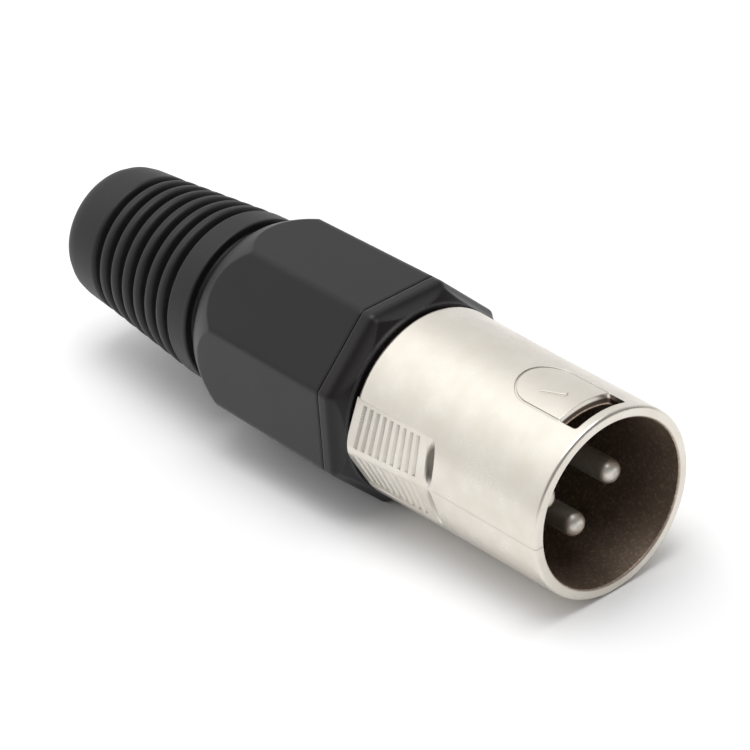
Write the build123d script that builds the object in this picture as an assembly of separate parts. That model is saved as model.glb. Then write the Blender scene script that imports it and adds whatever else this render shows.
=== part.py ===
from build123d import *
from math import cos, sin, radians
import os

# Depths run from the mouth of the shell towards the cable. The axis is X.

# Shell
shellRadius = 9.5
mouthWall = 1.1
mouthChamfer = 0.15
mouthRounding = 0.35
shellDepth = 24.9
shellEdge = 0.6
shellDraft = 0.16
ledgeDepth = 18.0
ledgeLength = 0.9
ledgeStep = 0.5
carrierWall = 1.9
neckWall = 0.95
neckLength = 8.1
neckChamfer = 0.35
keywayWidth = 3.1
keywayRise = 0.5

# Latch window and the arch engraved behind it
windowDepth = 1.04
windowLength = 2.25
windowWidth = 6.2
windowCorner = 0.35
archLength = 7.6
archOverhang = 0.1
lineWidth = 0.24
lineCut = 0.14
dashLength = 2.6
dashWidth = 0.4
dashRise = 0.12
dashDepth = 6.36
dashOffset = -0.72
dashAngle = 24

# Finger grips
gripDepth = 14.4
gripTurn = 2
gripRidgeDrop = 0.1
gripRidgeRise = 1.0
gripRidgeRounding = 1.2
gripEndRounding = 0.8
gripHalfAngle = 30
gripNotchRadius = 0.75
gripNotchHalf = 3.1
gripGrooveCount = 9
gripGroovePitch = 0.91
gripGrooveStart = 1.95
gripGrooveWidth = 0.5
gripGrooveCut = 0.2
gripGrooveMargin = 0.45
gripRoot = 1.0

# Contact carrier
carrierFit = 0.1
carrierFloor = 7.2
skirtWall = 0.9
skirtLength = 6.0
ribWall = 0.8
ribGap = 0.25
ribAngles = (90, -45, -135)
keyFit = 0.1
keyReach = 6.5
keyDrop = 1.15

# Contacts
contactCircle = 4.1
contactAngles = (0, 180, -90)
carrierTurn = -8
pinRadius = 1.2
pinTipDepth = 3.9
pinTipRounding = 0.95
pinFit = 0.03
pinShoulder = 1.45
shoulderProud = 0.1
bodyRadius = 1.6
bodyStart = 2.0
bodyLength = 4.6
cupRadius = 1.45
cupBore = 1.05
cupReach = 5.0
cupBoreDepth = 3.8
cupOpening = 2.8

# Ground clip
clipAngle = 45
clipWidth = 3.0
clipThick = 0.4
clipStart = 1.2
clipBow = 1.3
clipRun = 0.8
clipSide = 0.1
clipTab = 4.6
clipJog = 0.9
clipRise = 0.4
clipHole = 0.6

# Cap
capWallFront = 1.62
capTaper = 0.27
capSides = 8
capLength = 23.2
capGap = 0.35
capCorner = 0.8
noseWall = 1.0
noseLength = 0.25
frontCove = (0.0, 0.45, 1.0, 1.55)
frontCoveRise = (0.0, 0.10, 0.32)
frontRounding = 0.8
capMargin = 0.1
threadFit = 0.15
lineDepth = 3.05
lineGroove = 0.2
lineGrooveCut = 0.3
rearConeLength = 5.6
rearConeArc = 16.0
rearConeDrop = 1.6
lipLength = 1.9

# Cable clamp
clampFit = 0.1
clampSeat = 0.1
flangeDrop = 0.3
flangeLength = 1.3
chamberFit = 0.35
jawDrop = 0.65
jawTaper = 1.7
jawStraight = 0.6
jawLength = 7.4
jawFit = 0.15
jawTipWall = 2.0
jawToothRise = 0.5
jawToothCount = 4
jawToothPitch = 1.2
slitCount = 4
slitWidth = 1.1

# Boot
bootWeb = 1.2
bootFlangeDrop = 0.7
bootFlangeLength = 2.5
bootFit = 0.12
bootNeckDrop = 0.75
bootNeckReach = 2.0
collarDrop = 0.5
collarTaper = 0.13
collarLength = 3.05
ribbedLength = 13.5
ribbedTaper = 1.45
grooveCount = 7
grooveWidth = 1.1
grooveBase = 0.7
grooveCut = 1.15
tailLength = 6.2
tailTaper = 0.5
tailLand = 0.6
cableWall = 3.5
cableChamfer = 0.4
cableBoreLength = 4.2
boreStep = 1.5

# Places that follow from the sizes above
mouthBore = shellRadius - mouthWall
carrierBore = shellRadius - carrierWall
keyInner = carrierBore - keyDrop
ledgeEnd = ledgeDepth + ledgeLength
neckRadius = carrierBore + neckWall
rearRadius = shellRadius + shellDraft
neckEnd = shellDepth + neckLength
keywayRadius = carrierBore + keywayRise
windowEnd = windowDepth + windowLength
floorEnd = ledgeEnd + carrierFloor
skirtEnd = floorEnd + skirtLength
noseDepth = shellDepth + capGap
capEnd = noseDepth + capLength
threadBore = neckRadius + threadFit
noseRadius = threadBore + noseWall
noseEnd = noseDepth + noseLength
frontEdge = noseEnd + frontCove[-1]
capRadiusFront = noseRadius + capWallFront
capRadiusRear = capRadiusFront - capTaper
rearRimRadius = capRadiusRear - rearConeDrop
flangeRadius = neckRadius - flangeDrop
jawRadius = flangeRadius - jawDrop
jawTipRadius = jawRadius - jawTaper
jawBore = jawTipRadius - jawTipWall
bootFlange = rearRimRadius - bootFlangeDrop
bootNeck = bootFlange - bootNeckDrop
collarRadius = rearRimRadius - collarDrop
collarEndRadius = collarRadius - collarTaper
ribbedEndRadius = collarRadius - ribbedTaper
tailRadius = ribbedEndRadius - tailTaper
tailRounding = cableWall - cableChamfer - tailLand
cableBore = tailRadius - cableWall
bootBore = cableBore + boreStep
flangeStart = neckEnd + clampSeat
flangeEnd = flangeStart + flangeLength
chamberRadius = flangeRadius + chamberFit
jawStart = flangeEnd + jawStraight
jawEnd = jawStart + jawLength
lipDepth = capEnd - lipLength
flangeSeat = lipDepth - bootFlangeLength
webDepth = flangeSeat - bootWeb
collarDepth = capEnd + bootNeckReach
collarEnd = collarDepth + collarLength
ribbedEnd = collarEnd + ribbedLength
bootEnd = ribbedEnd + tailLength
archEnd = windowEnd + archLength
insertRadius = carrierBore - carrierFit
clampRadius = carrierBore - clampFit
bodyFront = ledgeDepth + bodyStart
pinEnd = ledgeDepth - shoulderProud
cupEnd = floorEnd + cupReach
clipFront = ledgeEnd + clipStart
lineEnd = noseDepth + lineDepth + lineGroove / 2

# Overshoot of a cutting tool, and how near two places count as one
clear = 1.0
tiny = 0.001


def station(depth):
    return Plane.YZ.offset(-depth)


def around(angle):
    return Rot(X=angle)


def turned(*profile):
    points = [(-depth, radius) for depth, radius in profile]
    return revolve(make_face(Polyline(*points, close=True)), Axis.X)


def rod(start, end, radius):
    return extrude(station(end) * Circle(radius), amount=end - start)


def bar(start, end, inner, outer, width):
    middle = (inner + outer) / 2
    section = station(end) * Pos(0, middle) * Rectangle(width, outer - inner)
    return extrude(section, amount=end - start)


def rim(solid, depth, radius):
    circles = solid.edges().filter_by(GeomType.CIRCLE)
    return circles.filter_by(
        lambda edge: abs(edge.radius - radius) < tiny and abs(edge.center().X + depth) < tiny
    )


def shellBlank():
    blank = turned(
        (0, mouthBore + mouthChamfer),
        (0, shellRadius),
        (gripDepth, shellRadius),
        (shellDepth, rearRadius),
        (shellDepth, neckRadius),
        (neckEnd - neckChamfer, neckRadius),
        (neckEnd, neckRadius - neckChamfer),
        (neckEnd, carrierBore),
        (ledgeEnd, carrierBore),
        (ledgeEnd, carrierBore - ledgeStep),
        (ledgeDepth, carrierBore - ledgeStep),
        (ledgeDepth, mouthBore),
        (mouthChamfer, mouthBore),
    )
    blank = fillet(rim(blank, 0, shellRadius), mouthRounding)
    return fillet(rim(blank, shellDepth, rearRadius), shellEdge)


def latchWindow():
    plan = Pos(-(windowDepth + windowLength / 2), 0) * RectangleRounded(
        windowLength, windowWidth, windowCorner
    )
    return extrude(plan, amount=shellRadius + clear)


def archOutline(inset):
    half = windowWidth / 2 + archOverhang - inset
    noseCentre = archEnd - windowWidth / 2 - archOverhang
    straight = Pos(-(windowEnd + noseCentre) / 2, 0) * Rectangle(noseCentre - windowEnd, 2 * half)
    return straight + Pos(-noseCentre, 0) * Circle(half)


def archLine():
    band = archOutline(0) - archOutline(lineWidth)
    return extrude(band, amount=shellRadius + clear) - rod(0, shellDepth, shellRadius - lineCut)


def dashMark():
    plan = Pos(-dashDepth, dashOffset) * Rot(Z=dashAngle) * Rectangle(dashLength, dashWidth)
    skin = rod(0, shellDepth, shellRadius + dashRise) - rod(0, shellDepth, shellRadius - dashRise)
    return extrude(plan, amount=shellRadius + clear) & skin


def gripEdge(reach=1):
    return Vector(cos(radians(gripHalfAngle)), sin(radians(gripHalfAngle))) * shellRadius * reach


def ridgeRadius(depth):
    share = (depth - gripDepth) / (shellDepth - gripDepth)
    return shellRadius - gripRidgeDrop + share * (gripRidgeDrop + gripRidgeRise)


def gripCut():
    edge = gripEdge()
    far = gripEdge(1 + clear / 4)
    lower = [(far.X, -far.Y), (edge.X, -edge.Y)]
    outline = Polyline((0, 0), (edge.X, edge.Y), (far.X, far.Y), *lower, close=True)
    return extrude(station(shellDepth) * make_face(outline), amount=shellDepth - gripDepth)


def gripSection(depth):
    edge = gripEdge()
    root = gripEdge(1 - gripRoot / shellRadius)
    upper = [(root.X, root.Y), (edge.X, edge.Y)]
    lower = [(edge.X, -edge.Y), (root.X, -root.Y)]
    outline = Polyline(*upper, (ridgeRadius(depth), 0), *lower, close=True)
    return station(depth) * make_face(outline)


def gripPad():
    pad = loft([gripSection(gripDepth), gripSection(shellDepth)], ruled=True)
    proud = pad.edges().filter_by(lambda edge: edge.center().Y > shellRadius - tiny)
    ridge = proud.filter_by(lambda edge: abs(edge.center().Z) < tiny)
    pad = fillet(ridge, gripRidgeRounding)
    limit = shellRadius + gripRidgeRise
    pad &= fillet(rim(rod(0, shellDepth, limit), shellDepth, limit), gripEndRounding)
    return pad - rod(0, shellDepth, shellRadius - gripRoot)


def gripNotch():
    middle = shellRadius * cos(radians(gripHalfAngle / 2)), shellRadius * sin(radians(gripHalfAngle / 2))
    facet = gripEdge() - Vector(shellRadius, 0)
    line = Line((gripNotchHalf, 0), (-gripNotchHalf, 0))
    bow = ThreePointArc((-gripNotchHalf, 0), (0, gripNotchRadius), (gripNotchHalf, 0))
    spindle = revolve(make_face([bow, line]), Axis.X)
    return Plane(origin=(-gripDepth, *middle), x_dir=(0, facet.X, facet.Y), z_dir=(1, 0, 0)) * spindle


def gripGroove(depth):
    ridge = Vector(0, ridgeRadius(depth), 0)
    edge = Vector(0, gripEdge().X, gripEdge().Y)
    facet = edge - ridge
    start = ridge + facet.normalized() * gripGrooveMargin
    length = facet.length - 2 * gripGrooveMargin
    section = Plane(origin=(-depth, start.Y, start.Z), x_dir=(1, 0, 0), z_dir=facet)
    vee = Polyline(
        (-gripGrooveWidth, gripGrooveCut),
        (gripGrooveWidth, gripGrooveCut),
        (0, -gripGrooveCut),
        close=True,
    )
    return extrude(section * make_face(vee), amount=length)


def gripTools():
    depths = [gripDepth + gripGrooveStart + gripGroovePitch * n for n in range(gripGrooveCount)]
    upper = [gripGroove(depth) for depth in depths] + [gripNotch()]
    facets = upper + [mirror(tool, about=Plane.XY) for tool in upper]
    return [around(side + gripTurn) * tool for side in (0, 180) for tool in facets]


def makeShell():
    shell = shellBlank() + dashMark()
    shell -= latchWindow()
    shell -= archLine()
    keyway = bar(ledgeDepth - clear, neckEnd + clear, keyInner, keywayRadius, keywayWidth)
    shell -= around(carrierTurn) * keyway
    bore = rod(0, shellDepth, shellRadius - gripRoot)
    for side in (gripTurn, 180 + gripTurn):
        shell -= around(side) * (gripCut() - bore)
        shell += around(side) * gripPad()
    return shell - gripTools()


def makeInsert():
    skirtInner = insertRadius - skirtWall
    insert = turned(
        (ledgeDepth, 0),
        (ledgeDepth, insertRadius - ledgeStep),
        (ledgeEnd, insertRadius - ledgeStep),
        (ledgeEnd, insertRadius),
        (skirtEnd, insertRadius),
        (skirtEnd, skirtInner),
        (floorEnd, skirtInner),
        (floorEnd, 0),
    )
    rib = bar(floorEnd - ribGap, skirtEnd - ribGap, 0, skirtInner + ribGap, ribWall)
    for angle in ribAngles:
        insert += around(angle - 90) * rib
    insert += bar(
        ledgeDepth - keyReach, floorEnd, keyInner, keywayRadius - keyFit, keywayWidth - 2 * keyFit
    )
    slotWidth = clipWidth + 2 * clipSide
    bed = bar(clipFront - clipSide, floorEnd + clear, skirtInner, insertRadius + clear, slotWidth)
    gate = bar(floorEnd, skirtEnd + clear, skirtInner - skirtWall, insertRadius + clear, slotWidth)
    insert -= around(clipAngle - 90) * (bed + gate)
    pinHole = rod(ledgeDepth - clear, floorEnd, pinShoulder + pinFit)
    bodyHole = rod(bodyFront, floorEnd + clear, bodyRadius + pinFit)
    for angle in contactAngles:
        insert -= around(angle) * Pos(0, contactCircle, 0) * (pinHole + bodyHole)
    return around(carrierTurn) * insert


def makeContact(angle):
    contact = turned(
        (pinTipDepth, 0),
        (pinTipDepth, pinRadius),
        (pinEnd, pinRadius),
        (pinEnd, pinShoulder),
        (bodyFront, pinShoulder),
        (bodyFront, bodyRadius),
        (bodyFront + bodyLength, bodyRadius),
        (bodyFront + bodyLength, cupRadius),
        (cupEnd, cupRadius),
        (cupEnd, cupBore),
        (cupEnd - cupBoreDepth, cupBore),
        (cupEnd - cupBoreDepth, 0),
    )
    contact = fillet(rim(contact, pinTipDepth, pinRadius), pinTipRounding)
    scoop = bar(cupEnd - cupOpening, cupEnd + clear, 0, cupRadius + clear, 2 * cupRadius + clear)
    contact -= around(-90) * scoop
    return around(angle + carrierTurn) * Pos(0, contactCircle, 0) * contact


def makeGroundClip():
    floor = insertRadius - skirtWall
    tabRadius = floor - clipJog
    line = [
        (clipFront, floor),
        (clipFront + clipRun, floor),
        (clipFront + clipRun + clipBow, floor + clipRise),
        (clipFront + clipRun + 2 * clipBow, floor),
        (floorEnd + clipSide, floor),
        (floorEnd + clipSide + clipJog, tabRadius),
        (floorEnd + clipSide + clipTab, tabRadius),
    ]
    under = [(-depth, radius) for depth, radius in line]
    over = [(-depth, radius + clipThick) for depth, radius in reversed(line)]
    strip = extrude(Plane.XZ * make_face(Polyline(*under, *over, close=True)), clipWidth / 2, both=True)
    holeDepth = floorEnd + clipSide + clipTab - clipWidth / 2
    strip -= Pos(-holeDepth, 0) * extrude(Circle(clipHole), amount=insertRadius)
    return around(clipAngle - 90 + carrierTurn) * strip


def makeCableClamp():
    teeth = []
    for n in range(jawToothCount):
        back = jawEnd - n * jawToothPitch
        teeth += [(back, jawBore), (back - jawToothPitch, jawBore - jawToothRise)]
    front = skirtEnd + clampSeat
    clamp = turned(
        (front, jawBore),
        (front, clampRadius),
        (flangeStart, clampRadius),
        (flangeStart, flangeRadius),
        (flangeEnd, flangeRadius),
        (flangeEnd, jawRadius),
        (jawStart, jawRadius),
        (jawEnd, jawTipRadius),
        *teeth,
        (jawEnd - jawToothCount * jawToothPitch, jawBore),
    )
    clamp += bar(front, flangeStart + clear, keyInner, keywayRadius - keyFit, keywayWidth - 2 * keyFit)
    slit = bar(jawStart, jawEnd + clear, -jawRadius - clear, jawRadius + clear, slitWidth)
    for n in range(slitCount // 2):
        clamp -= around(45 + n * 360 / slitCount) * slit
    return around(carrierTurn) * clamp


def octagon(depth, radius):
    shape = RegularPolygon(radius, capSides, major_radius=True, rotation=180 / capSides)
    return station(depth) * fillet(shape.vertices(), capCorner)


def capFront():
    spread = cos(radians(180 / capSides))
    steps = zip(frontCove, frontCoveRise)
    sections = [octagon(noseEnd + reach, (noseRadius + rise) / spread) for reach, rise in steps]
    cove = loft([*sections, octagon(frontEdge, capRadiusFront)])
    shoulder = capRadiusFront + capMargin
    cone = turned((noseEnd, 0), (noseEnd, noseRadius), (frontEdge, shoulder), (frontEdge, 0))
    return (cove & cone) + rod(noseDepth, noseEnd, noseRadius)


def capOutline():
    prism = loft([octagon(frontEdge, capRadiusFront), octagon(capEnd, capRadiusRear)])
    shoulder = capRadiusFront + capMargin
    rimPoint = (-capEnd, rearRimRadius)
    coneStart = (-(capEnd - rearConeLength), shoulder)
    cone = RadiusArc(rimPoint, coneStart, rearConeArc)
    rest = Polyline(coneStart, (-frontEdge, shoulder), (-frontEdge, 0), (-capEnd, 0), rimPoint)
    outline = capFront() + (prism & revolve(make_face([cone, *rest.edges()]), Axis.X))
    brow = outline.edges().filter_by(lambda edge: edge.bounding_box().size.X < tiny)
    return fillet(brow.filter_by(lambda edge: abs(edge.center().X + frontEdge) < tiny), frontRounding)


def capLine():
    outer = extrude(octagon(lineEnd, capRadiusFront + clear), amount=lineGroove)
    inner = extrude(octagon(lineEnd, capRadiusFront - lineGrooveCut), amount=lineGroove)
    return outer - inner


def capBore():
    return turned(
        (noseDepth - clear, 0),
        (noseDepth - clear, threadBore),
        (neckEnd, threadBore),
        (neckEnd, chamberRadius),
        (flangeEnd + jawFit, chamberRadius),
        (flangeEnd + jawFit, jawRadius + jawFit),
        (jawStart, jawRadius + jawFit),
        (jawEnd, jawTipRadius + jawFit),
        (webDepth, jawTipRadius + jawFit),
        (webDepth, bootBore),
        (flangeSeat, bootBore),
        (flangeSeat, bootFlange + bootFit),
        (lipDepth, bootFlange + bootFit),
        (lipDepth, bootNeck + bootFit),
        (capEnd + clear, bootNeck + bootFit),
        (capEnd + clear, 0),
    )


def makeCap():
    return capOutline() - capLine() - capBore()


def ribbedRadius(depth):
    share = (depth - collarEnd) / ribbedLength
    return collarEndRadius + share * (ribbedEndRadius - collarEndRadius)


def ribbing():
    points = []
    pitch = (ribbedLength - grooveWidth) / (grooveCount - 1)
    slope = (grooveWidth - grooveBase) / 2
    for n in range(grooveCount):
        front = collarEnd + n * pitch
        back = front + grooveWidth
        base = ribbedRadius(front + grooveWidth / 2) - grooveCut
        points += [
            (front, ribbedRadius(front)),
            (front + slope, base),
            (back - slope, base),
            (back, ribbedRadius(back)),
        ]
    return points


def makeBoot():
    boot = turned(
        (flangeSeat + bootFit, bootBore),
        (flangeSeat + bootFit, bootFlange),
        (lipDepth, bootFlange),
        (lipDepth, bootNeck),
        (collarDepth, bootNeck),
        (collarDepth, collarRadius),
        *ribbing(),
        (bootEnd, tailRadius),
        (bootEnd, cableBore + cableChamfer),
        (bootEnd - cableChamfer, cableBore),
        (bootEnd - cableBoreLength, cableBore),
        (bootEnd - cableBoreLength - (bootBore - cableBore), bootBore),
    )
    return fillet(rim(boot, bootEnd, tailRadius), tailRounding)


pieces = {
    "shell": makeShell(),
    "insert": makeInsert(),
    "contact_1": makeContact(contactAngles[0]),
    "contact_2": makeContact(contactAngles[1]),
    "contact_3": makeContact(contactAngles[2]),
    "ground_clip": makeGroundClip(),
    "cable_clamp": makeCableClamp(),
    "cap": makeCap(),
    "boot": makeBoot(),
}

# The row's origin is the middle of the overall length, on the axis.
os.makedirs("parts", exist_ok=True)
for name, piece in pieces.items():
    placed = Pos(bootEnd / 2, 0, 0) * piece
    export_step(placed, f"parts/{name}.step")
    print(name, round(placed.volume, 1), "mm3")
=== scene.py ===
from math import cos, pi, sin, tau

import bpy
from mathutils import Matrix, Vector


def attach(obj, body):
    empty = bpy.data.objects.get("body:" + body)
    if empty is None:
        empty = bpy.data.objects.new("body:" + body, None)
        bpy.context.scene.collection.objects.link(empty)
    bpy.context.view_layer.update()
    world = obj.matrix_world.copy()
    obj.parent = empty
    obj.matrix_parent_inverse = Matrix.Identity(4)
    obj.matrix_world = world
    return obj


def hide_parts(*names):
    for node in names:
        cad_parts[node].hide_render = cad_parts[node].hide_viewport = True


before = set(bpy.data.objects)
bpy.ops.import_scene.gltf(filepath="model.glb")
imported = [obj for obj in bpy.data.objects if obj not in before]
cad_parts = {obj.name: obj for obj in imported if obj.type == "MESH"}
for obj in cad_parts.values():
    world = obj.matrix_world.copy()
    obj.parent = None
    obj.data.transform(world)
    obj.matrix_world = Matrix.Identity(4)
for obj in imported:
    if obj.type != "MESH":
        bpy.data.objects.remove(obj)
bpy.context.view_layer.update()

mm = 0.001
mouth = 36.6             # mm, from the origin to the mouth; depths are counted back from it


# Shader building blocks, all placed by the part's own coordinates

shading = {
    "samples": 6,                  # rays for each rounded edge and hollow
    "noiseRange": (0.35, 0.65),    # where nearly all of a noise's values lie
    "edgeRange": (0.88, 1.0),      # cosine of the turn at a rounded edge
    "hollowRange": (0.35, 0.95),   # open share of the sky in a hollow
}


def addNode(tree, kind, sockets=None, **settings):
    made = tree.nodes.new("ShaderNode" + kind)
    for key, value in settings.items():
        setattr(made, key, value)
    for socket, value in (sockets or {}).items():
        if isinstance(value, bpy.types.NodeSocket):
            tree.links.new(value, made.inputs[socket])
        else:
            made.inputs[socket].default_value = value
    return made


def newFinish(name):
    finish = bpy.data.materials.new(name)
    finish.use_nodes = True
    tree = finish.node_tree
    return finish, tree, addNode(tree, "TexCoord").outputs["Object"]


def coat(tree, colour, roughness, normal, metal=1.0, gloss=0.5):
    body = tree.nodes["Principled BSDF"]
    tree.links.new(colour, body.inputs["Base Color"])
    tree.links.new(roughness, body.inputs["Roughness"])
    tree.links.new(normal, body.inputs["Normal"])
    body.inputs["Metallic"].default_value = metal
    body.inputs["Specular IOR Level"].default_value = gloss


def grain(tree, place, size, detail, stretch=(1, 1, 1)):
    laid = addNode(tree, "Mapping", {"Vector": place, "Scale": stretch})
    noise = addNode(tree, "TexNoise", {"Vector": laid.outputs[0], "Scale": 1 / size, "Detail": detail})
    return noise.outputs["Fac"]


def spread(tree, value, target=(0, 1), source=shading["noiseRange"], **settings):
    limits = {"From Min": source[0], "From Max": source[1], "To Min": target[0], "To Max": target[1]}
    return addNode(tree, "MapRange", {"Value": value, **limits}, **settings).outputs[0]


def calc(tree, kind, first, second=0.0):
    return addNode(tree, "Math", {0: first, 1: second}, operation=kind).outputs[0]


def product(tree, first, *others):
    for other in others:
        first = calc(tree, "MULTIPLY", first, other)
    return first


def blend(tree, first, second, share=0.5):
    return calc(tree, "ADD", product(tree, first, share), product(tree, second, 1 - share))


def dot(tree, first, second):
    return addNode(tree, "VectorMath", {0: first, 1: second}, operation="DOT_PRODUCT").outputs["Value"]


def tint(tree, share, first, second):
    mixer = addNode(tree, "Mix", {"Factor": share}, data_type="RGBA")
    for index, colour in ((6, first), (7, second)):
        if isinstance(colour, bpy.types.NodeSocket):
            tree.links.new(colour, mixer.inputs[index])
        else:
            mixer.inputs[index].default_value = (*colour, 1)
    return mixer.outputs[2]


def softEdge(tree, radius):
    return addNode(tree, "Bevel", {"Radius": radius}, samples=shading["samples"]).outputs[0]


def edgeMask(tree, radius):
    flat = addNode(tree, "NewGeometry").outputs["Normal"]
    return spread(tree, dot(tree, softEdge(tree, radius), flat), (1, 0), shading["edgeRange"])


def hollows(tree, reach):
    rays = {"samples": shading["samples"], "only_local": True}
    shade = addNode(tree, "AmbientOcclusion", {"Distance": reach}, **rays).outputs["AO"]
    return spread(tree, shade, (1, 0), shading["hollowRange"])


def bumped(tree, height, depth, normal):
    sockets = {"Height": height, "Distance": depth, "Strength": 1.0, "Normal": normal}
    return addNode(tree, "Bump", sockets).outputs[0]


# Camera, floor and light

camera = {
    "place": (245.8, -193.14, 194.07),   # mm, in the frame of the part
    "right": (0.6544, 0.7534, -0.0654),
    "up": (-0.3664, 0.3914, 0.8442),
    "lens": 184.13,
    "sensor": 36,
    "near": 0.01,                        # m, what lies between these two is drawn
    "far": 20,
}

floorPlan = {
    "size": 6.0,          # m
    "touchX": 9.2,        # mm, the cap's front lower edge stands here
    "touchZ": -10.46,
    "slope": 0.0353,      # the mouth's rim is the other place that it rests on
    "colour": (0.93, 0.93, 0.935),
    "roughness": 0.9,
    "gloss": 0.1,
}

studio = {
    "tone": (1.0, 1.0, 1.0),
    "base": 0.92,
    "glowAim": (-0.63, -0.20, 0.75),     # the bright part of the tent, seen along the shell
    "glowGain": 0.46,
    "glowReach": 0.66,
    "shadeFrom": (-0.25, 0.45),          # towards the mouth's side the tent is open and dark
    "shadeDepth": 0.65,
}

overhead = {
    "aim": (0.05, -0.07, 1),
    "far": 0.60,          # m
    "size": (0.40, 0.40),
    "glow": 4.35,
}


def setCamera():
    right = Vector(camera["right"]).normalized()
    up = Vector(camera["up"])
    up = (up - right * up.dot(right)).normalized()
    turn = Matrix((right, up, right.cross(up))).transposed().to_4x4()
    data = bpy.data.cameras.new("photoCamera")
    data.lens = camera["lens"]
    data.sensor_width = camera["sensor"]
    data.clip_start = camera["near"]
    data.clip_end = camera["far"]
    eye = bpy.data.objects.new("photoCamera", data)
    eye.matrix_world = Matrix.Translation(Vector(camera["place"]) * mm) @ turn
    bpy.context.scene.collection.objects.link(eye)
    bpy.context.scene.camera = eye


def layFloor():
    half = floorPlan["size"] / 2
    slope = floorPlan["slope"]
    height = (floorPlan["touchZ"] - slope * floorPlan["touchX"]) * mm
    outline = [(-half, -half), (half, -half), (half, half), (-half, half)]
    mesh = bpy.data.meshes.new("studioFloor")
    mesh.from_pydata([(x, y, height + slope * x) for x, y in outline], [], [(0, 1, 2, 3)])
    floor = bpy.data.objects.new("studioFloor", mesh)
    bpy.context.scene.collection.objects.link(floor)
    paper = bpy.data.materials.new("sweepPaper")
    paper.use_nodes = True
    body = paper.node_tree.nodes["Principled BSDF"]
    body.inputs["Base Color"].default_value = (*floorPlan["colour"], 1)
    body.inputs["Roughness"].default_value = floorPlan["roughness"]
    body.inputs["Specular IOR Level"].default_value = floorPlan["gloss"]
    mesh.materials.append(paper)


def hangLight():
    wide, high = overhead["size"]
    aim = Vector(overhead["aim"]).normalized()
    data = bpy.data.lights.new("overhead", "AREA")
    data.shape = "RECTANGLE"
    data.size = wide
    data.size_y = high
    data.energy = overhead["glow"] * pi * wide * high
    lamp = bpy.data.objects.new("overhead", data)
    lamp.rotation_mode = "QUATERNION"
    lamp.rotation_quaternion = aim.to_track_quat("Z", "Y")
    lamp.location = aim * overhead["far"]
    lamp.visible_camera = False
    bpy.context.scene.collection.objects.link(lamp)


def tentGlow(tree, way):
    near = dot(tree, way, tuple(Vector(studio["glowAim"]).normalized()))
    share = spread(tree, near, source=(studio["glowReach"], 1))
    return product(tree, share, share, studio["glowGain"])


def tentShade(tree, way):
    ahead = addNode(tree, "SeparateXYZ", {"Vector": way}).outputs["X"]
    levels = (studio["base"], studio["base"] - studio["shadeDepth"])
    return spread(tree, ahead, levels, studio["shadeFrom"], interpolation_type="SMOOTHSTEP")


def lightStudio():
    world = bpy.data.worlds.new("studioTent")
    world.use_nodes = True
    tree = world.node_tree
    sky = tree.nodes["Background"]
    sky.inputs["Color"].default_value = (*studio["tone"], 1)
    way = addNode(tree, "TexCoord").outputs["Generated"]
    level = calc(tree, "ADD", tentGlow(tree, way), tentShade(tree, way))
    tree.links.new(level, sky.inputs["Strength"])
    bpy.context.scene.world = world
    bpy.context.scene.view_settings.view_transform = "Standard"
    hangLight()


setCamera()
layFloor()
lightStudio()
print("camera, floor and light set")


# Turned forms: a profile of (depth, radius, rounding) in mm, swept round the axis

turning = {
    "around": 192,
    "cornerSteps": 5,
    "cornerLimit": 0.8,      # share of a side that one rounding may take
}


def eased(profile):
    steps = turning["cornerSteps"]
    line = []
    for index, (depth, radius, rounding) in enumerate(profile):
        here = Vector((depth, radius))
        back = Vector(profile[index - 1][:2]) - here
        ahead = Vector(profile[(index + 1) % len(profile)][:2]) - here
        half = back.angle(ahead) / 2
        limit = min(back.length, ahead.length) * turning["cornerLimit"]
        reach = min(rounding * cos(half) / sin(half), limit)
        first = here + back.normalized() * reach
        last = here + ahead.normalized() * reach
        for step in range(steps + 1):
            share = step / steps
            line.append(first.lerp(here, share).lerp(here.lerp(last, share), share))
    return line


def lathe(name, profile):
    line = eased(profile)
    count = len(line)
    around = turning["around"]
    points, faces = [], []
    for turn in range(around):
        angle = tau * turn / around
        points += [((mouth - p.x) * mm, p.y * cos(angle) * mm, p.y * sin(angle) * mm) for p in line]
        near, far = turn * count, (turn + 1) % around * count
        for index in range(count):
            after = (index + 1) % count
            faces.append((near + index, near + after, far + after, far + index))
    return addPiece(name, points, faces)


def addPiece(name, points, faces):
    mesh = bpy.data.meshes.new(name)
    mesh.from_pydata(points, [], faces)
    mesh.shade_smooth()
    mesh.validate()
    piece = bpy.data.objects.new(name, mesh)
    bpy.context.scene.collection.objects.link(piece)
    weigh = piece.modifiers.new("evenShading", "WEIGHTED_NORMAL")
    weigh.keep_sharp = True
    return piece


# Boot: soft ribs, rounded over as moulded rubber is

bootForm = {
    "flangeFront": 44.17,    # mm, depths from the mouth
    "flangeRear": 46.55,
    "collarFront": 50.45,
    "ribsFront": 53.5,
    "ribsRear": 67.0,
    "end": 73.2,
    "cableLength": 4.2,
    "flange": 8.75,          # radii
    "neck": 8.0,
    "collar": 8.95,
    "collarEnd": 8.82,
    "ribsEnd": 7.5,
    "tail": 7.0,
    "bore": 5.0,
    "cable": 3.5,
    "grooves": 7,
    "grooveWidth": 1.1,
    "grooveBase": 0.62,
    "grooveCut": 1.1,
    "frontRounding": 0.1,
    "flangeRounding": 0.25,
    "flangeRearRounding": 0.2,
    "neckFrontRounding": 0.15,
    "neckRearRounding": 0.25,
    "collarRounding": 0.3,
    "crestRounding": 0.50,
    "rootRounding": 0.30,
    "tailRounding": 3.1,
    "holeRounding": 0.45,
    "cableRounding": 0.3,
    "boreRounding": 0.4,
}


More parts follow.
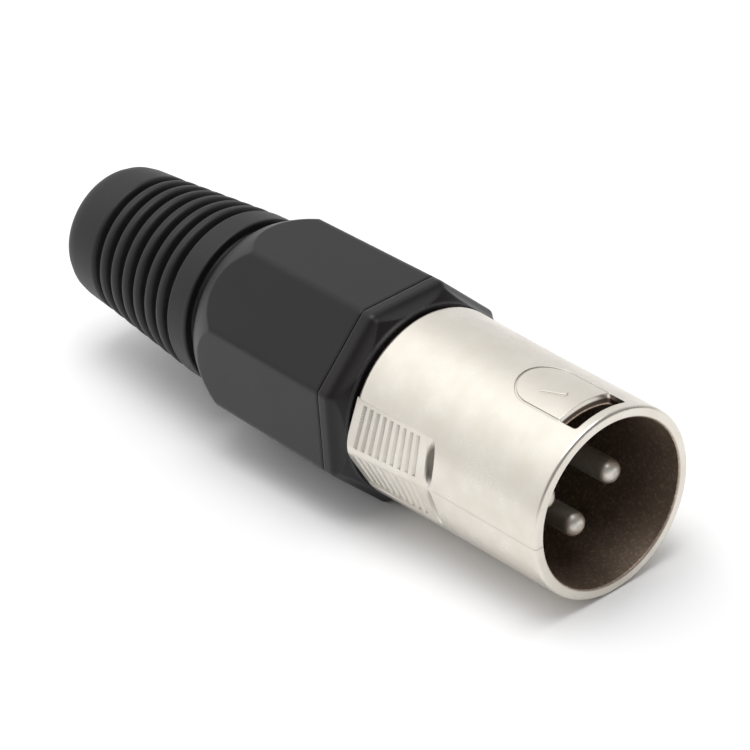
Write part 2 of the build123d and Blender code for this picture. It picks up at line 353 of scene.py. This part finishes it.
def ribProfile(plan):
    span = plan["ribsRear"] - plan["ribsFront"]
    pitch = (span - plan["grooveWidth"]) / (plan["grooves"] - 1)
    lean = (plan["grooveWidth"] - plan["grooveBase"]) / 2
    profile = []
    for groove in range(plan["grooves"]):
        front = plan["ribsFront"] + groove * pitch
        rear = front + plan["grooveWidth"]
        frontRadius, rearRadius = [
            plan["collarEnd"] + (place - plan["ribsFront"]) / span * (plan["ribsEnd"] - plan["collarEnd"])
            for place in (front, rear)
        ]
        root = (frontRadius + rearRadius) / 2 - plan["grooveCut"]
        profile += [
            (front, frontRadius, plan["crestRounding"]),
            (front + lean, root, plan["rootRounding"]),
            (rear - lean, root, plan["rootRounding"]),
            (rear, rearRadius, plan["crestRounding"]),
        ]
    return profile


def makeBoot():
    plan = bootForm
    end = plan["end"]
    inner = end - plan["cableLength"]
    boot = lathe("bootRubber", [
        (plan["flangeFront"], plan["bore"], plan["frontRounding"]),
        (plan["flangeFront"], plan["flange"], plan["flangeRounding"]),
        (plan["flangeRear"], plan["flange"], plan["flangeRearRounding"]),
        (plan["flangeRear"], plan["neck"], plan["neckFrontRounding"]),
        (plan["collarFront"], plan["neck"], plan["neckRearRounding"]),
        (plan["collarFront"], plan["collar"], plan["collarRounding"]),
        *ribProfile(plan),
        (end, plan["tail"], plan["tailRounding"]),
        (end, plan["cable"], plan["holeRounding"]),
        (inner, plan["cable"], plan["cableRounding"]),
        (inner - plan["bore"] + plan["cable"], plan["bore"], plan["boreRounding"]),
    ])
    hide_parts("boot")
    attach(boot, "back")
    return boot


# Thread on the shell's neck, seen once the cap is unscrewed

thread = {
    "front": 25.5,      # mm, depths from the mouth
    "rear": 32.6,
    "pitch": 1.25,
    "root": 8.50,
    "crest": 8.66,
    "rootHalf": 0.42,
    "crestHalf": 0.16,
    "fade": 0.35,       # turns over which the ends run out
    "least": 0.02,      # share of the height that is left there
    "steps": 72,        # to a turn
}


def makeThread():
    plan = thread
    turns = (plan["rear"] - plan["front"]) / plan["pitch"]
    count = int(turns * plan["steps"])
    points, faces = [], []
    for step in range(count + 1):
        turn = step / plan["steps"]
        angle = -tau * turn
        depth = plan["front"] + turn * plan["pitch"]
        full = min(1, turn / plan["fade"], (turns - turn) / plan["fade"])
        crest = plan["root"] + (plan["crest"] - plan["root"]) * max(full, plan["least"])
        section = [
            (-plan["rootHalf"], plan["root"]), (-plan["crestHalf"], crest),
            (plan["crestHalf"], crest), (plan["rootHalf"], plan["root"]),
        ]
        for along, radius in section:
            place = (mouth - depth - along, radius * cos(angle), radius * sin(angle))
            points.append([value * mm for value in place])
    for step in range(count):
        near, far = step * 4, step * 4 + 4
        faces += [(near + n, near + (n + 1) % 4, far + (n + 1) % 4, far + n) for n in range(4)]
    faces += [(3, 2, 1, 0), (count * 4, count * 4 + 1, count * 4 + 2, count * 4 + 3)]
    ridge = addPiece("neckThread", points, faces)
    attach(ridge, "plug")
    return ridge


bootRubber = makeBoot()
neckThread = makeThread()
print("boot and thread made")


# Shell: satin nickel over die-cast metal, left rough and dark inside the mouth

nickel = {
    "bright": (0.745, 0.708, 0.640),
    "cloudy": (0.695, 0.652, 0.580),
    "worn": (0.860, 0.830, 0.770),
    # the colour of the painted shade in the grooves and of the dark parting line
    "seamAndShade": (0.200, 0.175, 0.145),
    "satin": (0.26, 0.34),
    "cloudSize": 2.4 * mm,
    "cloudDepth": 0.0025 * mm,
    "cloudShare": 0.6,                     # of the cloud, against the grain, in the gloss
    "grainSize": 0.11 * mm,
    "grainDepth": 0.0022 * mm,
    "edge": 0.11 * mm,
}

# Painted shade on the shell: in the grips' grooves, round the engraved arch and in the thumb notch
paintedShade = {
    "reach": 1.0 * mm,
    "grips": 0.95,                         # painted shade: strong in the grips, faint round the engraved arch
    "arch": 0.16,
    "archFrom": 24.0 * mm,
    "fade": 0.6,                           # the grooves' upper ends get the darkest painted shade
    "top": (0.5 * mm, 4.0 * mm),
    "shadeInNotch": (0.090, 0.078, 0.062),        # painted shade in the thumb notch in front of the grooves
    "notchAlong": (21.5 * mm, 22.9 * mm),
    "notchRadius": (9.02 * mm, 9.36 * mm),
    "notchDark": (0.35, 0.90),
    "notchRise": (-0.5 * mm, 0.5 * mm),
}

seam = {
    "from": 22.9 * mm,                     # the parting line runs from the near grip to the mouth
    "middle": -0.32 * mm,
    "half": 0.045 * mm,
    "depth": 0.02 * mm,
    "darken": 0.30,
}

bore = {
    "darker": (0.400, 0.310, 0.245),
    "spark": (0.640, 0.520, 0.410),
    "windowDark": (0.075, 0.055, 0.045),   # darker on the cut walls of the latch window
    "windowRadius": (8.50 * mm, 8.60 * mm),
    "from": 18.75 * mm,
    "radius": (8.94 * mm, 9.10 * mm),      # dull within this radius along the window
    "step": 0.50 * mm,                     # and within this much less behind it and in front
    "windowRear": (32.7 * mm, 33.0 * mm),
    "windowFront": (35.7 * mm, 36.0 * mm),
    "satin": 0.52,
    "fleckSize": 0.30 * mm,
    "fleckDepth": 0.018 * mm,
    "fleckRange": (0.50, 0.72),
}


def partingSeam(tree, axes):
    off = calc(tree, "ABSOLUTE", calc(tree, "SUBTRACT", axes["Z"], seam["middle"]))
    line = spread(tree, off, (1, 0), (0, seam["half"]))
    ahead = calc(tree, "GREATER_THAN", axes["X"], seam["from"])
    return product(tree, line, ahead, calc(tree, "LESS_THAN", axes["Y"], 0.0))


def axisDistance(tree, axes):
    flat = addNode(tree, "CombineXYZ", {"Y": axes["Y"], "Z": axes["Z"]}).outputs[0]
    return addNode(tree, "VectorMath", {0: flat}, operation="LENGTH").outputs["Value"]


def boreMask(tree, axes, radius):
    front = spread(tree, axes["X"], (0, bore["step"]), bore["windowFront"])
    rear = spread(tree, axes["X"], (bore["step"], 0), bore["windowRear"])
    reach = calc(tree, "ADD", radius, calc(tree, "MAXIMUM", front, rear))
    within = spread(tree, reach, (1, 0), bore["radius"])
    return product(tree, within, calc(tree, "GREATER_THAN", axes["X"], bore["from"]))


# painted shade in the thumb notch, darker towards the top
def notchShadeMask(tree, axes, radius):
    rear, front = paintedShade["notchAlong"]
    deep = spread(tree, radius, (1, 0), paintedShade["notchRadius"])
    ahead = calc(tree, "GREATER_THAN", axes["X"], rear)
    behind = calc(tree, "LESS_THAN", axes["X"], front)
    upper = spread(tree, axes["Z"], paintedShade["notchDark"], paintedShade["notchRise"])
    return product(tree, deep, ahead, behind, upper)


# painted shade: darker where little sky reaches into the grooves, most at their upper ends
def grooveShadeMask(tree, axes):
    arch = calc(tree, "GREATER_THAN", axes["X"], paintedShade["archFrom"])
    strength = spread(tree, arch, (paintedShade["grips"], paintedShade["arch"]), (0, 1))
    upper = spread(tree, axes["Z"], (paintedShade["fade"], 1), paintedShade["top"])
    return product(tree, strength, upper, hollows(tree, paintedShade["reach"]))


def satinNickel():
    finish, tree, place = newFinish("satinNickel")
    axes = addNode(tree, "SeparateXYZ", {"Vector": place}).outputs
    radius = axisDistance(tree, axes)
    cloud = grain(tree, place, nickel["cloudSize"], detail=5.0)
    fine = grain(tree, place, nickel["grainSize"], detail=2.0)
    fleck = grain(tree, place, bore["fleckSize"], detail=3.0)
    line = partingSeam(tree, axes)
    inside = boreMask(tree, axes, radius)

    plated = tint(tree, spread(tree, cloud), nickel["bright"], nickel["cloudy"])
    plated = tint(tree, edgeMask(tree, nickel["edge"]), plated, nickel["worn"])
    # painted shade in the grips' grooves and round the arch
    plated = tint(tree, grooveShadeMask(tree, axes), plated, nickel["seamAndShade"])
    # painted shade in the thumb notch
    plated = tint(tree, notchShadeMask(tree, axes, radius), plated, paintedShade["shadeInNotch"])
    plated = tint(tree, product(tree, line, seam["darken"]), plated, nickel["seamAndShade"])
    rough = tint(tree, spread(tree, fleck, source=bore["fleckRange"]), bore["darker"], bore["spark"])
    cut = spread(tree, radius, source=bore["windowRadius"])
    rough = tint(tree, cut, rough, bore["windowDark"])

    satin = spread(tree, blend(tree, cloud, fine, nickel["cloudShare"]), nickel["satin"])
    extra = product(tree, inside, bore["satin"] - nickel["satin"][1])
    normal = softEdge(tree, nickel["edge"])
    normal = bumped(tree, cloud, nickel["cloudDepth"], normal)
    normal = bumped(tree, fine, nickel["grainDepth"], normal)
    normal = bumped(tree, calc(tree, "SUBTRACT", 1.0, line), seam["depth"], normal)
    normal = bumped(tree, product(tree, fleck, inside), bore["fleckDepth"], normal)
    coat(tree, tint(tree, inside, plated, rough), calc(tree, "ADD", satin, extra), normal)
    return finish


# Contacts: turned and tinned brass

pinMetal = {
    "bright": (0.780, 0.755, 0.700),
    "cloudy": (0.690, 0.655, 0.590),
    "darker": (0.300, 0.270, 0.230),
    "satin": (0.40, 0.50),
    "ringSize": 0.5 * mm,
    "ringStretch": (14, 1, 1),
    "ringDepth": 0.0018 * mm,
    "cloudSize": 1.1 * mm,
    # painted shade in the pins' hollows
    "darken": 0.6,
    "shadeReach": 0.3 * mm,
    "edge": 0.05 * mm,
}


def turnedPin():
    finish, tree, place = newFinish("turnedPin")
    cloud = grain(tree, place, pinMetal["cloudSize"], detail=4.0)
    rings = grain(tree, place, pinMetal["ringSize"], detail=3.0, stretch=pinMetal["ringStretch"])
    # painted shade: the pins darkened where little sky reaches
    shaded = product(tree, hollows(tree, pinMetal["shadeReach"]), pinMetal["darken"])
    plated = tint(tree, spread(tree, cloud), pinMetal["bright"], pinMetal["cloudy"])
    plated = tint(tree, shaded, plated, pinMetal["darker"])
    normal = bumped(tree, rings, pinMetal["ringDepth"], softEdge(tree, pinMetal["edge"]))
    coat(tree, plated, spread(tree, rings, pinMetal["satin"]), normal)
    return finish


# Ground clip: bare brass strip

strip = {
    "bright": (0.760, 0.640, 0.400),
    "cloudy": (0.620, 0.500, 0.290),
    "satin": (0.25, 0.42),
    "drawnSize": 0.8 * mm,
    "drawnStretch": (1, 12, 12),
    "drawnDepth": 0.003 * mm,
    "edge": 0.05 * mm,
}


def springStrip():
    finish, tree, place = newFinish("springStrip")
    drawn = grain(tree, place, strip["drawnSize"], detail=4.0, stretch=strip["drawnStretch"])
    metal = tint(tree, spread(tree, drawn), strip["bright"], strip["cloudy"])
    metal = tint(tree, edgeMask(tree, strip["edge"]), metal, strip["bright"])
    normal = bumped(tree, drawn, strip["drawnDepth"], softEdge(tree, strip["edge"]))
    coat(tree, metal, spread(tree, drawn, strip["satin"]), normal)
    return finish


# Moulded pieces: cap, boot, contact carrier and cable clamp

mouldings = {
    "cap": {
        "deep": (0.0030, 0.0016, 0.0022),
        "pale": (0.0048, 0.0030, 0.0038),
        # lighter edges: partly rubbed wear, partly a painted highlight along the edges
        "rubbedAndLit": (0.110, 0.106, 0.108),
        "gloss": 0.35,
        "satin": (0.34, 0.42),
        "sparkSize": 0.10 * mm,
        "sparkDepth": 0.0035 * mm,
        "flowSize": 6.0 * mm,
        "flowDepth": 0.020 * mm,
        "edge": 0.45 * mm,
        "rim": 0.14 * mm,
        "wearAndGlint": 0.5,
    },
    "boot": {
        "deep": (0.0075, 0.0062, 0.0064),
        "pale": (0.0115, 0.0100, 0.0102),
        "rubbedAndLit": (0.026, 0.025, 0.025),
        "gloss": 0.40,
        "satin": (0.48, 0.58),
        "sparkSize": 0.14 * mm,
        "sparkDepth": 0.0045 * mm,
        "flowSize": 4.0 * mm,
        "flowDepth": 0.018 * mm,
        "edge": 0.05 * mm,
        "rim": 0.05 * mm,
        "wearAndGlint": 0.2,
    },
    "carrier": {
        "deep": (0.0075, 0.0066, 0.0060),
        "pale": (0.0120, 0.0108, 0.0098),
        "rubbedAndLit": (0.030, 0.029, 0.028),
        "gloss": 0.40,
        "satin": (0.42, 0.58),
        "sparkSize": 0.12 * mm,
        "sparkDepth": 0.004 * mm,
        "flowSize": 3.0 * mm,
        "flowDepth": 0.012 * mm,
        "edge": 0.08 * mm,
        "rim": 0.08 * mm,
        "wearAndGlint": 0.2,
    },
    "clamp": {
        "deep": (0.700, 0.690, 0.650),
        "pale": (0.790, 0.785, 0.755),
        "rubbedAndLit": (0.850, 0.850, 0.830),
        "gloss": 0.50,
        "satin": (0.38, 0.52),
        "sparkSize": 0.10 * mm,
        "sparkDepth": 0.0035 * mm,
        "flowSize": 3.5 * mm,
        "flowDepth": 0.014 * mm,
        "edge": 0.08 * mm,
        "rim": 0.08 * mm,
        "wearAndGlint": 0.3,
    },
}


def moulded(name):
    plan = mouldings[name]
    finish, tree, place = newFinish(name + "Moulded")
    spark = grain(tree, place, plan["sparkSize"], detail=2.0)
    flow = grain(tree, place, plan["flowSize"], detail=4.0)
    # lighter edges: partly rubbed wear, partly a painted highlight along the edges
    rubbedAndLit = product(tree, edgeMask(tree, plan["rim"]), plan["wearAndGlint"])
    colour = tint(tree, spread(tree, flow), plan["deep"], plan["pale"])
    colour = tint(tree, rubbedAndLit, colour, plan["rubbedAndLit"])
    satin = spread(tree, blend(tree, spark, flow), plan["satin"])
    normal = softEdge(tree, plan["edge"])
    normal = bumped(tree, flow, plan["flowDepth"], normal)
    normal = bumped(tree, spark, plan["sparkDepth"], normal)
    coat(tree, colour, satin, normal, metal=0.0, gloss=plan["gloss"])
    return finish


def dress(finish, *nodes):
    for node in nodes:
        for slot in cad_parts[node].material_slots:
            slot.material = finish


nickelFinish = satinNickel()
bootFinish = moulded("boot")
dress(nickelFinish, "shell")
dress(turnedPin(), "contact_1", "contact_2", "contact_3")
dress(springStrip(), "ground_clip")
dress(moulded("carrier"), "insert")
dress(moulded("clamp"), "cable_clamp")
dress(moulded("cap"), "cap")
dress(bootFinish, "boot")
bootRubber.data.materials.append(bootFinish)
neckThread.data.materials.append(nickelFinish)
print("finishes on", len(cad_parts), "nodes and 2 pieces")
